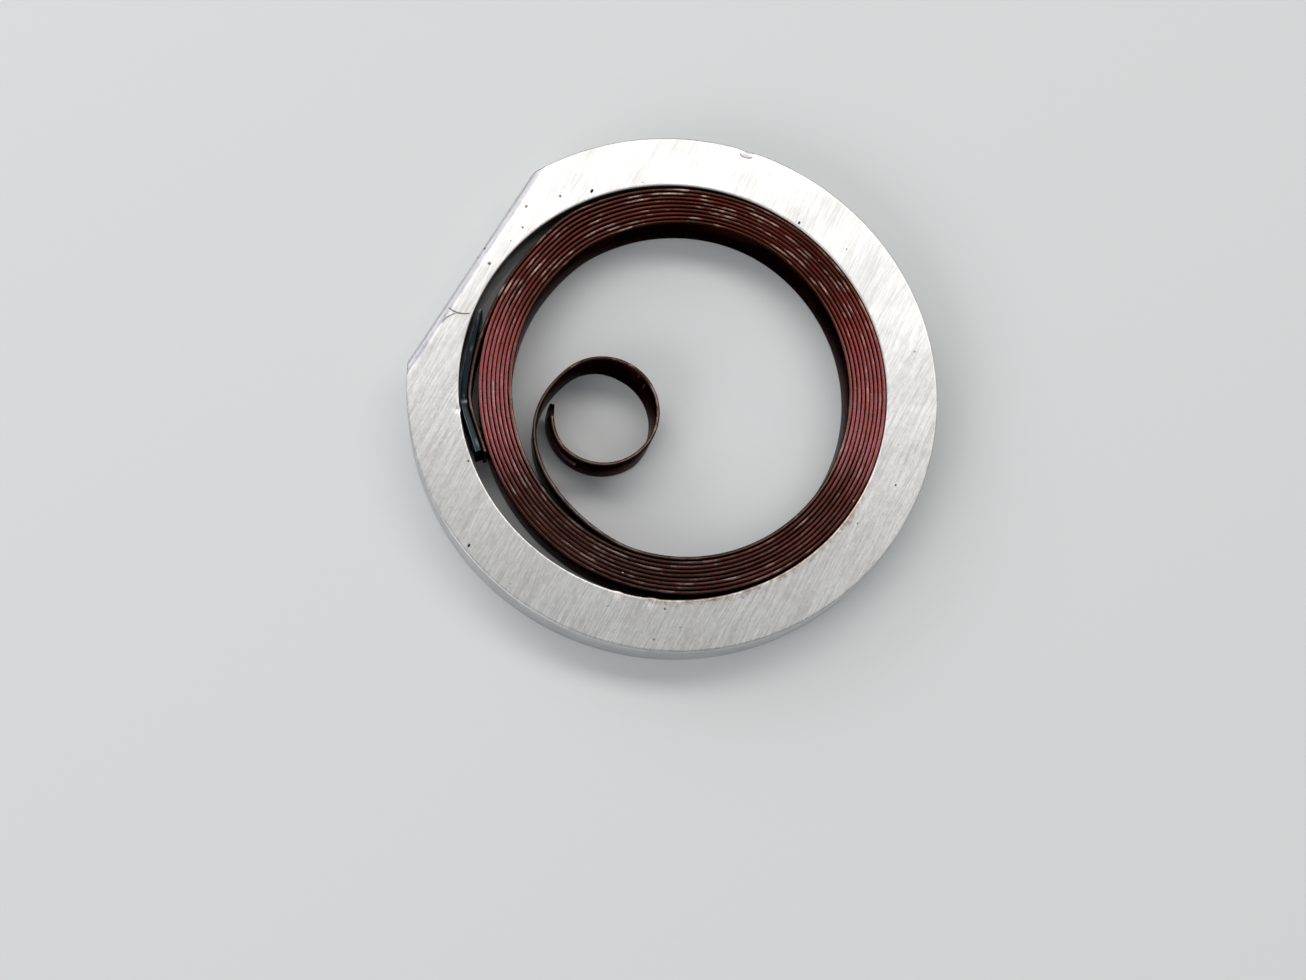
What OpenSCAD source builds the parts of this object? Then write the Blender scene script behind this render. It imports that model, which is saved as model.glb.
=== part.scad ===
// Watch mainspring packed in its retaining ring, in millimetres.
// The spring is a long steel strip, coiled edge up inside a flat ring, with a small round eye at
// its inner end and a riveted bridle at its outer end. +Z is the ring's axis. The origin is on
// that axis, in the ring's lower face. The coil is pressed flat on its -X side by the bridle.

/* [Retaining ring] */
// Outer diameter of the ring
ring_d = 18; // [17.6:0.1:20]
// Bore diameter, which holds the coil
bore_d = 14.5; // [14.4:0.02:14.6]
// Thickness of the ring
ring_t = 1.7; // [1.65:0.05:2.5]
// Distance from the axis to the flat on the rim
flat_reach = 8.1; // [7.8:0.1:8.7]
// Direction that the flat faces, in degrees from +X
flat_turn = 148; // [125:1:150]
// Width of the rolled bevel along the flat
flat_bevel = 0.2; // [0.1:0.05:0.3]

/* [Mainspring] */
// Thickness of the spring strip
strip_t = 0.13; // [0.11:0.005:0.135]
// Height of the strip, which is its width before it is coiled
strip_h = 1.6; // [1.4:0.05:1.6]
// Step from one coil to the next
pitch = 0.143; // [0.142:0.001:0.145]
// Full coils between the innermost and the one that touches the bore
coil_turns = 8; // [6:1:8]
// Clearance between the packed coil and the bore
coil_gap = 0.03; // [0.03:0.01:0.08]
// How far the -X side of the coil is pressed in
press_in = 0.56; // [0.52:0.01:0.6]

/* [Eye of the mainspring] */
// Radius of the eye at the middle of the strip
eye_r = 1.85; // [1.7:0.05:1.9]
// Length of the slot that the arbor hook takes
slot_l = 1.42; // [1.2:0.02:1.5]
// Width of that slot
slot_w = 0.42; // [0.3:0.02:0.5]

/* [Bridle] */
// Length of the bridle along the strip
bridle_l = 4.9; // [4.4:0.1:5]
// Thickness of the bridle where it is riveted
bridle_t = 0.23; // [0.18:0.01:0.24]
// Thickness at its free tip
bridle_tip_t = 0.13; // [0.1:0.01:0.16]
// Height of the bridle
bridle_h = 1.5; // [1.3:0.05:1.5]
// Gap that its free tip springs open to
tip_lift = 0.2; // [0.1:0.02:0.24]

/* [Bridle rivets] */
// Radius of the rivet shank
rivet_r = 0.18; // [0.12:0.01:0.2]
// Radius of the rivet head
rivet_head_r = 0.3; // [0.26:0.01:0.34]
// Height of the rivet head
rivet_head_h = 0.06; // [0.04:0.01:0.07]

/* [Hidden] */

round_fn = 96;                                   // facets in the quick preview only
cut = 1;                                         // how far a cutter runs past a face

ring_r = ring_d / 2;
bore_r = bore_d / 2;
strip_z = (ring_t - strip_h) / 2;                // lower edge of the strip
mid_z = ring_t / 2;                              // middle of every piece's height

// Coils. An angle counts on past 360 degrees, one turn for each coil, from the innermost out.
coil_r0 = bore_r - coil_gap - strip_t / 2 - pitch * coil_turns;
coil_from = -104;                                // where the inner run meets the coil
coil_to = 360 * coil_turns + 150;                // where the outer end leaves the coil
coil_step = 6;

// Inner run and eye
eye_c = [-2.42, -0.79];                          // centre of the eye
eye_leave = 130;                                 // where the strip leaves the eye, in degrees
eye_tip = 166;                                   // where the rounded inner end stops
slot_at = 223;                                   // middle of the hook slot
run_pull = [3.72, 1.92];                         // how firmly the run keeps its two directions
run_n = 28;

// Outer end: a long arc, the kink that rests on the bore, and the straight tongue
arc_l = 3.81;
arc_turn = 24.3;
arc_n = 22;
kink_l = 0.84;
kink_turn = 22.9;
kink_n = 8;
tongue_l = 1.4;
tongue_n = 6;

bridle_gap = 0.03;                               // between the strip and the riveted bridle
bridle_end = 0.1;                                // how far the bridle stops short of the strip
lift_share = 0.45;                               // share of the bridle that springs away
rivet_at = [0.42, 1.12];                         // rivets, measured back from the strip's end
rivet_play = 0.01;                               // clearance of a rivet in the strip's hole

function unit(v) = v / norm(v);
function at_angle(r, a) = r * [cos(a), sin(a)];
function left_of(v) = [-v[1], v[0]];
function heading_of(v) = atan2(v[1], v[0]);

// Middle of the strip on the coil at angle a, and its direction there
function coil_radius(a) = coil_r0 + pitch * a / 360 - press_in * pow((1 - cos(a)) / 2, 2);
function coil_point(a) = at_angle(coil_radius(a), a);
function coil_way(a) = unit(coil_point(a + 0.5) - coil_point(a - 0.5));
coil = [for (a = [coil_from : coil_step : coil_to]) coil_point(a)];
coil_end = coil_from + coil_step * (len(coil) - 1);

// Point on a curve that leaves p along way_p and reaches q along way_q
function eased(p, way_p, q, way_q, pull, u) =
    pow(1 - u, 3) * p
    + 3 * pow(1 - u, 2) * u * (p + pull[0] * way_p)
    + 3 * (1 - u) * pow(u, 2) * (q - pull[1] * way_q)
    + pow(u, 3) * q;

eye_exit = eye_c + at_angle(eye_r, eye_leave);
eye_way = left_of(at_angle(1, eye_leave));
run = [
    for (i = [0 : run_n - 1])
        eased(eye_exit, eye_way, coil[0], coil_way(coil_from), run_pull, i / run_n)
];

// Points along a bend: n steps of a run of length l that turns left by turn degrees
function bend(p, heading, l, turn, n) =
    let (r = turn == 0 ? 0 : l * 180 / (PI * turn))
    [
        for (i = [1 : n])
            let (h = heading + turn * i / n)
            turn == 0
                ? p + at_angle(l * i / n, heading)
                : p + r * [sin(h) - sin(heading), cos(heading) - cos(h)]
    ];

end_heading = heading_of(coil_way(coil_end));
end_arc = bend(coil[len(coil) - 1], end_heading, arc_l, arc_turn, arc_n);
kink_heading = end_heading + arc_turn;
kink = bend(end_arc[arc_n - 1], kink_heading, kink_l, kink_turn, kink_n);
tongue_heading = kink_heading + kink_turn;
tongue = bend(kink[kink_n - 1], tongue_heading, tongue_l, 0, tongue_n);
outer_end = concat(end_arc, kink, tongue);
tongue_tip = outer_end[len(outer_end) - 1];

// Direction of a path at its point i, and the unit vector to its right, away from the axis
function way_at(path, i) = unit(path[min(i + 1, len(path) - 1)] - path[max(i - 1, 0)]);
function right_at(path, i) = -left_of(way_at(path, i));

// A path moved to its right by the distance that each point has in the list d
function moved(path, d) = [for (i = [0 : len(path) - 1]) path[i] + d[i] * right_at(path, i)];
function even(path, d) = [for (p = path) d];
function reversed(path) = [for (i = [len(path) - 1 : -1 : 0]) path[i]];

// Flat outline between two distances to the right of a path
module band(path, near, far) {
    polygon(concat(moved(path, near), reversed(moved(path, far))));
}

// Outline of a ring's sector between two angles
module arc_band(r_in, r_out, from, to) {
    reach = 2 * r_out;
    difference() {
        intersection() {
            circle(r = r_out, $fn = round_fn);
            polygon(concat([[0, 0]], [for (i = [0 : 3]) at_angle(reach, from + (to - from) * i / 3)]));
        }
        circle(r = r_in, $fn = round_fn);
    }
}

// Radial cylinder through the wall of the eye, at angle a and half height
module through_eye(a, r, shift = 0) {
    translate([eye_c[0], eye_c[1], mid_z])
        rotate([0, 0, a])
            translate([0, shift, 0])
                rotate([0, 90, 0])
                    cylinder(r = r, h = eye_r + cut, $fn = round_fn);
}

// Slot with round ends that the hook of the winding arbor catches
module hook_slot() {
    side = (slot_l - slot_w) / 2;
    through_eye(slot_at, slot_w / 2, -side);
    through_eye(slot_at, slot_w / 2, side);
    translate([eye_c[0], eye_c[1], mid_z])
        rotate([0, 0, slot_at])
            translate([0, -side, -slot_w / 2])
                cube([eye_r + cut, 2 * side, slot_w]);
}

// Stretch of the eye between two angles
module eye_wall(from, to) {
    translate([eye_c[0], eye_c[1], strip_z])
        linear_extrude(height = strip_h)
            arc_band(eye_r - strip_t / 2, eye_r + strip_t / 2, from, to);
}

// The eye, with its rounded inner end and its slot
module eye() {
    round_at = eye_tip + asin(strip_h / 2 / eye_r);
    half_way = 270;
    difference() {
        union() {
            intersection() {
                eye_wall(eye_tip - 2, round_at + 1);
                through_eye(round_at, strip_h / 2);
            }
            eye_wall(round_at, half_way);
            eye_wall(half_way, 360);
            eye_wall(0, eye_leave);
        }
        hook_slot();
    }
}

// Places a piece on the tongue, back from its tip, with +Z pointing away from the coil
module on_tongue(back) {
    p = tongue_tip - at_angle(back, tongue_heading);
    translate([p[0], p[1], mid_z])
        rotate([0, 0, tongue_heading - 90])
            rotate([0, 90, 0])
                children();
}

module retaining_ring() {
    bevel_side = flat_bevel * sqrt(2);
    color("gainsboro")
        difference() {
            cylinder(r = ring_r, h = ring_t, $fn = round_fn);
            translate([0, 0, -cut])
                cylinder(r = bore_r, h = ring_t + 2 * cut, $fn = round_fn);
            rotate([0, 0, flat_turn])
                translate([flat_reach, -ring_r, -cut])
                    cube([ring_r, ring_d, ring_t + 2 * cut]);
            rotate([0, 0, flat_turn])
                translate([flat_reach, 0, ring_t])
                    rotate([0, 45, 0])
                        cube([bevel_side, ring_d, bevel_side], center = true);
        }
}

module mainspring() {
    path = concat(run, coil, outer_end);
    half = strip_t / 2;
    color("saddlebrown")
        difference() {
            union() {
                eye();
                translate([0, 0, strip_z])
                    linear_extrude(height = strip_h)
                        band(path, even(path, -half), even(path, half));
            }
            for (back = rivet_at)
                on_tongue(back)
                    cylinder(r = rivet_r + rivet_play, h = cut / 2, center = true, $fn = 32);
        }
}

// Bridle: a thicker strip, kinked with the spring's end, whose free tip springs away from it
module bridle() {
    steps = 40;
    whole = concat([coil[len(coil) - 1]], outer_end);
    lengths = [for (i = [0 : len(whole) - 2]) norm(whole[i + 1] - whole[i])];
    function length_to(i) = i == 0 ? 0 : lengths[i - 1] + length_to(i - 1);
    end_l = length_to(len(whole) - 1);
    first = [for (i = [0 : len(whole) - 1]) if (length_to(i) >= end_l - bridle_end - bridle_l) i][0];
    last = [for (i = [0 : len(whole) - 1]) if (length_to(i) <= end_l - bridle_end) i];
    kept = [for (i = [first : last[len(last) - 1]]) whole[i]];
    n = len(kept) - 1;
    lift = [for (i = [0 : n]) tip_lift * pow(max(0, 1 - i / n / lift_share), 2)];
    near = [for (d = lift) strip_t / 2 + bridle_gap + d];
    thick = [for (i = [0 : n]) bridle_tip_t + (bridle_t - bridle_tip_t) * min(1, i / n / lift_share)];
    color("slategray")
        difference() {
            translate([0, 0, mid_z - bridle_h / 2])
                linear_extrude(height = bridle_h)
                    band(kept, near, near + thick);
            for (back = rivet_at)
                on_tongue(back)
                    cylinder(r = rivet_r, h = cut, $fn = 32);
        }
}

// Rivet with its inner end filed flush with the strip and a domed head on the bridle
module bridle_rivet(back) {
    inner = -strip_t / 2;
    outer = strip_t / 2 + bridle_gap + bridle_t;
    dome_r = (pow(rivet_head_r, 2) + pow(rivet_head_h, 2)) / (2 * rivet_head_h);
    color("dimgray")
        on_tongue(back) {
            translate([0, 0, inner])
                cylinder(r = rivet_r, h = outer - inner + rivet_head_h / 3, $fn = 32);
            intersection() {
                translate([0, 0, outer])
                    cylinder(r = rivet_head_r + cut, h = cut, $fn = 32);
                translate([0, 0, outer + rivet_head_h - dome_r])
                    sphere(r = dome_r, $fn = round_fn);
            }
        }
}

retaining_ring();
mainspring();
bridle();
bridle_rivet(rivet_at[0]);  // bridle_rivet_1
bridle_rivet(rivet_at[1]);  // bridle_rivet_2
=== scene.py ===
"""Visual model of a watch mainspring packed in its retaining ring.

The pieces are modelled in millimetres and turned to metres when they are finished. +Z is the
ring's axis, and the origin is on that axis in the ring's lower face.
"""

import logging
import math
from collections.abc import Callable
from dataclasses import dataclass, field
from enum import Enum

import bmesh
import bpy
import numpy as np
from mathutils import Matrix, Vector

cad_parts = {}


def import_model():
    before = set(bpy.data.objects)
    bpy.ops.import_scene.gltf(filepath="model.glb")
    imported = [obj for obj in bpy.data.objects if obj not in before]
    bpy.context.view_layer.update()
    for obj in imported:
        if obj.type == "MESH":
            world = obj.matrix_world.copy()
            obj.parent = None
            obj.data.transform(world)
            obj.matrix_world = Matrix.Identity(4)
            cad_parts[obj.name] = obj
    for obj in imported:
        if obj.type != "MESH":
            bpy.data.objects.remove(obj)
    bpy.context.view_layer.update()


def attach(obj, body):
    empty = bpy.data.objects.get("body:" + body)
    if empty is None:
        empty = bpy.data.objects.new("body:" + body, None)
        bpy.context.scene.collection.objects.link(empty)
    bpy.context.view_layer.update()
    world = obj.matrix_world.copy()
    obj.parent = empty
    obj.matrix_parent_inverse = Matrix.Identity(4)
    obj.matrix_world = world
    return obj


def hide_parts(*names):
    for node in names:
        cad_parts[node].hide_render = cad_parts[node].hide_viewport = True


LOG = logging.getLogger("mainspring")
METRES = 0.001

# Sizes that a piece and its finish share, in millimetres and in degrees from +X.
RING_THICK = 1.7
FLAT_TURN = 148.0
FLAT_REACH = 8.1
STRIP_THICK = 0.13
EYE_CENTRE = (-2.42, -0.79)

Point2 = tuple[float, float]
Point3 = tuple[float, float, float]
Colour = tuple[float, float, float]
Socket = bpy.types.NodeSocket


class Kind(Enum):
    """What a selection in edit mode is made of."""

    EDGE = "EDGE"
    FACE = "FACE"


class Body(Enum):
    """CAD bodies that pieces ride on."""

    RING = "ring"
    SPRING = "spring_pack"


class Slot(Enum):
    """Material slots."""

    RING = "ring"
    SPRING = "spring"
    BRIDLE = "bridle"
    RIVET = "rivet"


# ---------------------------------------------------------------- the bench


class Workpiece:
    """One mesh on the bench, with the steps that shape it."""

    def __init__(self, name: str, add: Callable[[], object]) -> None:
        """Starts a piece from a primitive.

        Args:
            name: the piece's name.
            add: the call that adds the primitive.
        """
        bpy.ops.object.select_all(action="DESELECT")
        add()
        self.obj = bpy.context.active_object
        self.obj.name = name
        self.obj.data.name = name

    def copy(self, name: str) -> "Workpiece":
        """Copies the piece, with its own mesh, under a new name."""
        twin = Workpiece.__new__(Workpiece)
        twin.obj = self.obj.copy()
        twin.obj.data = self.obj.data.copy()
        twin.obj.name = twin.obj.data.name = name
        bpy.context.scene.collection.objects.link(twin.obj)
        return twin

    def activate(self) -> None:
        """Makes this piece the only selected one, and the active one."""
        bpy.ops.object.select_all(action="DESELECT")
        self.obj.select_set(True)
        bpy.context.view_layer.objects.active = self.obj

    def edit(self) -> None:
        """Opens the piece in edit mode with nothing selected."""
        self.activate()
        bpy.ops.object.mode_set(mode="EDIT")
        bpy.ops.mesh.select_all(action="DESELECT")

    def close(self) -> None:
        """Leaves edit mode."""
        bpy.ops.object.mode_set(mode="OBJECT")

    def select(self, kind: Kind, test: Callable[[object], bool]) -> None:
        """Selects elements in edit mode.

        Args:
            kind: what to select.
            test: says whether one element is wanted.
        """
        bpy.ops.mesh.select_mode(type=kind.value)
        bpy.ops.mesh.select_all(action="DESELECT")
        mesh = bmesh.from_edit_mesh(self.obj.data)
        for element in {Kind.EDGE: mesh.edges, Kind.FACE: mesh.faces}[kind]:
            if test(element):
                element.select_set(True)
        bmesh.update_edit_mesh(self.obj.data)

    def coords(self) -> np.ndarray:
        """The vertices as an array of rows."""
        co = np.zeros(len(self.obj.data.vertices) * 3)
        self.obj.data.vertices.foreach_get("co", co)
        return co.reshape(-1, 3)

    def move_to(self, co: np.ndarray) -> None:
        """Puts the vertices at the rows of an array."""
        self.obj.data.vertices.foreach_set("co", co.ravel())
        self.obj.data.update()

    def mark(self, name: str, values: np.ndarray) -> None:
        """Stores a value or a vector for each vertex, for the materials to read.

        Args:
            name: the attribute's name.
            values: one number, or one row of three, for each vertex.
        """
        vector = values.ndim == 2
        kind = "FLOAT_VECTOR" if vector else "FLOAT"
        attribute = self.obj.data.attributes.new(name, kind, "POINT")
        attribute.data.foreach_set(
            "vector" if vector else "value", values.astype(np.float32).ravel()
        )

    def lift_mark(self, name: str, values: np.ndarray) -> None:
        """Raises a stored value to at least the given one at each vertex."""
        data = self.obj.data.attributes[name].data
        old = np.zeros(len(data), np.float32)
        data.foreach_get("value", old)
        data.foreach_set("value", np.maximum(old, values).astype(np.float32))

    def cut_away(self, cutter: "Workpiece") -> None:
        """Takes the cutter's shape out of this piece, and throws the cutter away.

        Args:
            cutter: the closed shape to take out.
        """
        self.activate()
        modifier = self.obj.modifiers.new("cut", "BOOLEAN")
        modifier.operation = "DIFFERENCE"
        modifier.solver = "EXACT"
        modifier.object = cutter.obj
        bpy.ops.object.modifier_apply(modifier=modifier.name)
        bpy.data.objects.remove(cutter.obj)

    def crisp(self) -> None:
        """Lets the large faces set the shading, so that they look flat up to a rounded edge."""
        self.activate()
        modifier = self.obj.modifiers.new("crisp", "WEIGHTED_NORMAL")
        modifier.keep_sharp = True
        bpy.ops.object.modifier_apply(modifier=modifier.name)

    def place(self) -> None:
        """Puts the object's own place, turn and scale into its mesh."""
        self.activate()
        bpy.ops.object.transform_apply(location=True, rotation=True, scale=True)

    def finish(
        self, body: Body, slot: Slot, material: bpy.types.Material, *nodes: str
    ) -> None:
        """Turns the piece to metres, smooths it, dresses it and puts it on its body.

        Args:
            body: the CAD body that it rides on.
            slot: the slot for its finish; not used.
            material: what it is dressed in.
            nodes: the CAD nodes that it stands for.
        """
        self.place()
        self.obj.data.transform(Matrix.Scale(METRES, 4))
        self.obj.data.update()
        bpy.ops.object.shade_smooth_by_angle(angle=math.radians(35))
        self.obj.data.materials.clear()
        self.obj.data.materials.append(material)
        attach(self.obj, body.value)
        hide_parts(*nodes)
        LOG.info("%s: %d faces", self.obj.name, len(self.obj.data.polygons))


def unit_rows(v: np.ndarray) -> np.ndarray:
    """Each row divided by its length."""
    return v / np.linalg.norm(v, axis=-1, keepdims=True)


def at_angle(r: float | np.ndarray, degrees: float | np.ndarray) -> np.ndarray:
    """Point or points at a radius and an angle from +X, in the plane."""
    a = np.radians(degrees)
    return np.stack([r * np.cos(a), r * np.sin(a)], axis=-1)


def waves(x: np.ndarray, seed: int, steps: tuple[float, ...]) -> np.ndarray:
    """Smooth uneven curve between about -1 and 1, the same on each run.

    Args:
        x: where to read it.
        seed: picks the curve.
        steps: wavelengths that are summed, the first the strongest.

    Returns:
        The curve's values at x.
    """
    rng = np.random.default_rng(seed)
    total, weight = np.zeros_like(x, dtype=float), 0.0
    for i, step in enumerate(steps):
        share = 0.6**i
        for detune in (1.0, 1.37):
            phase = rng.uniform(0, 2 * math.pi)
            total = total + share * np.sin(2 * math.pi * x / (step * detune) + phase)
            weight += share
    return total / weight


# ---------------------------------------------------------------- shader helpers


class Sheet:
    """Adds nodes to one node tree and links them. A value is a socket or a constant."""

    def __init__(self, tree: bpy.types.NodeTree) -> None:
        """Takes the node tree to work in."""
        self.tree = tree

    def add(self, kind: str, settings: dict | None = None, **inputs: object) -> bpy.types.Node:
        """Adds a node.

        Args:
            kind: the node's type.
            settings: values for the node's own properties.
            inputs: values by socket name with _ for a space, or by i0, i1 and so on for a
                socket's number.

        Returns:
            The new node.
        """
        node = self.tree.nodes.new(kind)
        for name, value in (settings or {}).items():
            setattr(node, name, value)
        for name, value in inputs.items():
            if name[0] == "i" and name[1:].isdigit():
                socket = node.inputs[int(name[1:])]
            else:
                socket = node.inputs[name.replace("_", " ")]
            if isinstance(value, Socket):
                self.tree.links.new(value, socket)
            else:
                socket.default_value = value
        return node

    def maths(self, operation: str, a: object, b: object = 0.0, clamp: bool = False) -> Socket:
        """One Math node, and its result."""
        settings = {"operation": operation, "use_clamp": clamp}
        return self.add("ShaderNodeMath", settings, i0=a, i1=b).outputs[0]

    def chain(self, operation: str, values: tuple[object, ...]) -> Socket:
        """Works through several values with one operation, from the first to the last."""
        total = values[0]
        for value in values[1:]:
            total = self.maths(operation, total, value)
        return total

    def plus(self, *values: object) -> Socket:
        """The values added up."""
        return self.chain("ADD", values)

    def minus(self, a: object, *values: object) -> Socket:
        """What is left of a when the values are taken from it."""
        return self.chain("SUBTRACT", (a, *values))

    def times(self, *values: object) -> Socket:
        """The values multiplied."""
        return self.chain("MULTIPLY", values)

    def highest(self, *values: object) -> Socket:
        """The greatest of the values."""
        return self.chain("MAXIMUM", values)

    def vector(self, operation: str, a: object, b: object = (0.0, 0.0, 0.0)) -> Socket:
        """One Vector Math node, and its result: a number for a length or a dot product."""
        node = self.add("ShaderNodeVectorMath", {"operation": operation}, i0=a, i1=b)
        return node.outputs["Value" if operation in ("LENGTH", "DOT_PRODUCT") else "Vector"]

    def toward(self, vector: object, turn: float) -> Socket:
        """How far a vector reaches in a direction that is given in degrees from +X."""
        return self.vector("DOT_PRODUCT", vector, (*at_angle(1.0, turn), 0.0))

    def axes(self, vector: object) -> tuple[Socket, ...]:
        """A vector's three parts."""
        return tuple(self.add("ShaderNodeSeparateXYZ", Vector=vector).outputs)

    def join(self, x: object, y: object, z: object) -> Socket:
        """A vector of three parts."""
        return self.add("ShaderNodeCombineXYZ", X=x, Y=y, Z=z).outputs[0]

    def blend(self, share: object, a: object, b: object, mode: str = "MIX") -> Socket:
        """Mixes two colours, and gives the result."""
        settings = {"data_type": "RGBA", "blend_type": mode, "clamp_factor": True}
        a, b = ((*c, 1.0) if isinstance(c, tuple) else c for c in (a, b))
        return self.add("ShaderNodeMix", settings, i0=share, i6=a, i7=b).outputs[2]

    def between(self, share: object, a: object, b: object) -> Socket:
        """Mixes two numbers, and gives the result."""
        return self.add("ShaderNodeMix", {"data_type": "FLOAT"}, i0=share, i2=a, i3=b).outputs[0]

    def step(self, value: object, low: float, high: float, top: float = 1.0) -> Socket:
        """Smooth rise from 0 at low to top at high, or a fall if low is the greater."""
        return self.add(
            "ShaderNodeMapRange",
            {"interpolation_type": "SMOOTHSTEP"},
            Value=value, From_Min=low, From_Max=high, To_Min=0.0, To_Max=top,
        ).outputs[0]

    def stretch(
        self, vector: object, scale: Point3 = (1.0, 1.0, 1.0), turn: float = 0.0,
        shift: Point3 = (0.0, 0.0, 0.0),
    ) -> Socket:
        """Turns a vector about Z by -turn degrees, shifts it, then scales it.

        Args:
            vector: what to turn.
            scale: factors on its three parts after the turn.
            turn: the angle.
            shift: what is added after the turn.

        Returns:
            The result.
        """
        settings = {"vector_type": "POINT"}
        turn_to = (0.0, 0.0, -math.radians(turn))
        turned = self.add("ShaderNodeMapping", settings, Vector=vector, Rotation=turn_to, Location=shift)
        return self.add("ShaderNodeMapping", settings, Vector=turned.outputs[0], Scale=scale).outputs[0]

    def noise(
        self, vector: object, scale: float = 1.0, detail: float = 3.0, rough: float = 0.5
    ) -> Socket:
        """Noise texture's value."""
        return self.add(
            "ShaderNodeTexNoise", {"noise_dimensions": "3D"},
            Vector=vector, Scale=scale, Detail=detail, Roughness=rough,
        ).outputs[0]

    def attribute(self, name: str, vector: bool = False) -> Socket:
        """Reads what Workpiece.mark stored."""
        settings = {"attribute_type": "GEOMETRY", "attribute_name": name}
        return self.add("ShaderNodeAttribute", settings).outputs["Vector" if vector else "Fac"]

    def millimetres(self) -> Socket:
        """The piece's own coordinates, in millimetres."""
        place = self.add("ShaderNodeTexCoord").outputs["Object"]
        return self.add("ShaderNodeMapping", Vector=place, Scale=(1 / METRES,) * 3).outputs[0]


class Effect:
    """A shader effect that several finishes share: one node group, placed where it is needed."""

    def __init__(self, name: str, inputs: dict[str, object], outputs: tuple[str, ...]) -> None:
        """Makes an empty group.

        Args:
            name: the group's name.
            inputs: input names with their defaults, a tuple for a vector.
            outputs: names of the float outputs.
        """
        self.group = bpy.data.node_groups.new(name, "ShaderNodeTree")
        for label, value in inputs.items():
            kind = "NodeSocketVector" if isinstance(value, tuple) else "NodeSocketFloat"
            socket = self.group.interface.new_socket(label, in_out="INPUT", socket_type=kind)
            socket.default_value = value
        for label in outputs:
            self.group.interface.new_socket(label, in_out="OUTPUT", socket_type="NodeSocketFloat")
        self.sheet = Sheet(self.group)
        self.given = self.sheet.add("NodeGroupInput").outputs
        self.result = self.sheet.add("NodeGroupOutput").inputs

    def give(self, label: str, value: Socket) -> None:
        """Links a value to one of the group's outputs."""
        self.group.links.new(value, self.result[label])

    def place(self, sheet: Sheet, **inputs: object) -> dict[str, Socket]:
        """Puts the group into a material.

        Args:
            sheet: the material's nodes.
            inputs: values for the group's inputs.

        Returns:
            The group's outputs by name.
        """
        node = sheet.add("ShaderNodeGroup", {"node_tree": self.group}, **inputs)
        return {o.name: o for o in node.outputs}


class Effects:
    """Every shared effect, built once."""

    def __init__(self) -> None:
        """Builds the groups."""
        self.scratches = self._scratches()
        self.pits = self._pits()
        self.grain = self._grain()
        self.edge_wear = self._edge_wear()

    @staticmethod
    def _scratches() -> Effect:
        """Fine parallel scratches with gaps in them: Vector runs along them in X."""
        made = Effect(
            "fine_scratches",
            {"Vector": (0.0, 0.0, 0.0), "Width": 0.03, "Length": 3.0, "Cover": 0.5},
            ("Height", "Mask"),
        )
        s, given = made.sheet, made.given
        across = s.maths("DIVIDE", 1.0, given["Width"])
        along = s.maths("DIVIDE", 1.0, given["Length"])
        warp = s.noise(s.stretch(given["Vector"], (0.5, 0.5, 0.5)), 1.0, 1.0)
        bent = s.vector("ADD", given["Vector"], s.join(0.0, s.times(warp, 0.25), 0.0))
        line = s.noise(s.vector("MULTIPLY", bent, s.join(along, across, across)), 1.0, 4.0, 0.62)
        gap = s.noise(s.stretch(given["Vector"], (0.35, 1.6, 1.6)), 1.0, 2.0)
        limit = s.minus(0.78, s.times(given["Cover"], 0.3))
        seen = s.maths("MULTIPLY", s.minus(line, limit), 9.0, clamp=True)
        made.give("Height", s.minus(line, 0.5))
        made.give("Mask", s.times(seen, s.step(gap, 0.4, 0.6)))
        return made

    @staticmethod
    def _pits() -> Effect:
        """Scattered pits and specks of dirt: Share is how many cells have one."""
        made = Effect(
            "pits", {"Vector": (0.0, 0.0, 0.0), "Spacing": 0.4, "Share": 0.2, "Size": 0.2}, ("Mask",)
        )
        s, given = made.sheet, made.given
        scale = s.maths("DIVIDE", 1.0, given["Spacing"])
        cell = s.add("ShaderNodeTexVoronoi", {"feature": "F1"}, Vector=given["Vector"], Scale=scale)
        pick = s.add("ShaderNodeSeparateColor", Color=cell.outputs["Color"]).outputs
        has = s.maths("LESS_THAN", pick[0], given["Share"])
        size = s.times(given["Size"], s.plus(pick[1], 0.3))
        edge = s.maths("DIVIDE", cell.outputs["Distance"], size)
        ragged = s.plus(edge, s.times(s.noise(given["Vector"], 14.0), 0.5))
        made.give("Mask", s.times(has, s.step(ragged, 1.25, 0.85)))
        return made

    @staticmethod
    def _grain() -> Effect:
        """Rolled grain of strip steel: Vector's X runs along the strip."""
        made = Effect("rolled_grain", {"Vector": (0.0, 0.0, 0.0)}, ("Height", "Patch"))
        s, given = made.sheet, made.given
        fine = s.noise(s.stretch(given["Vector"], (3.0, 26.0, 26.0)), 1.0, 4.0, 0.6)
        made.give("Height", s.minus(fine, 0.5))
        made.give("Patch", s.noise(s.stretch(given["Vector"], (0.45, 0.8, 0.8))))
        return made

    @staticmethod
    def _edge_wear() -> Effect:
        """Where an edge is rubbed to bare metal: Edge is 1 on the edge itself."""
        made = Effect("edge_wear", {"Vector": (0.0, 0.0, 0.0), "Edge": 0.0, "Amount": 0.5}, ("Mask",))
        s, given = made.sheet, made.given
        broken = s.noise(given["Vector"], 2.3, 5.0, 0.65)
        level = s.plus(s.times(given["Amount"], 0.5), broken)
        made.give("Mask", s.times(given["Edge"], s.step(level, 0.78, 0.95)))
        return made


# ---------------------------------------------------------------- finishes


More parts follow.
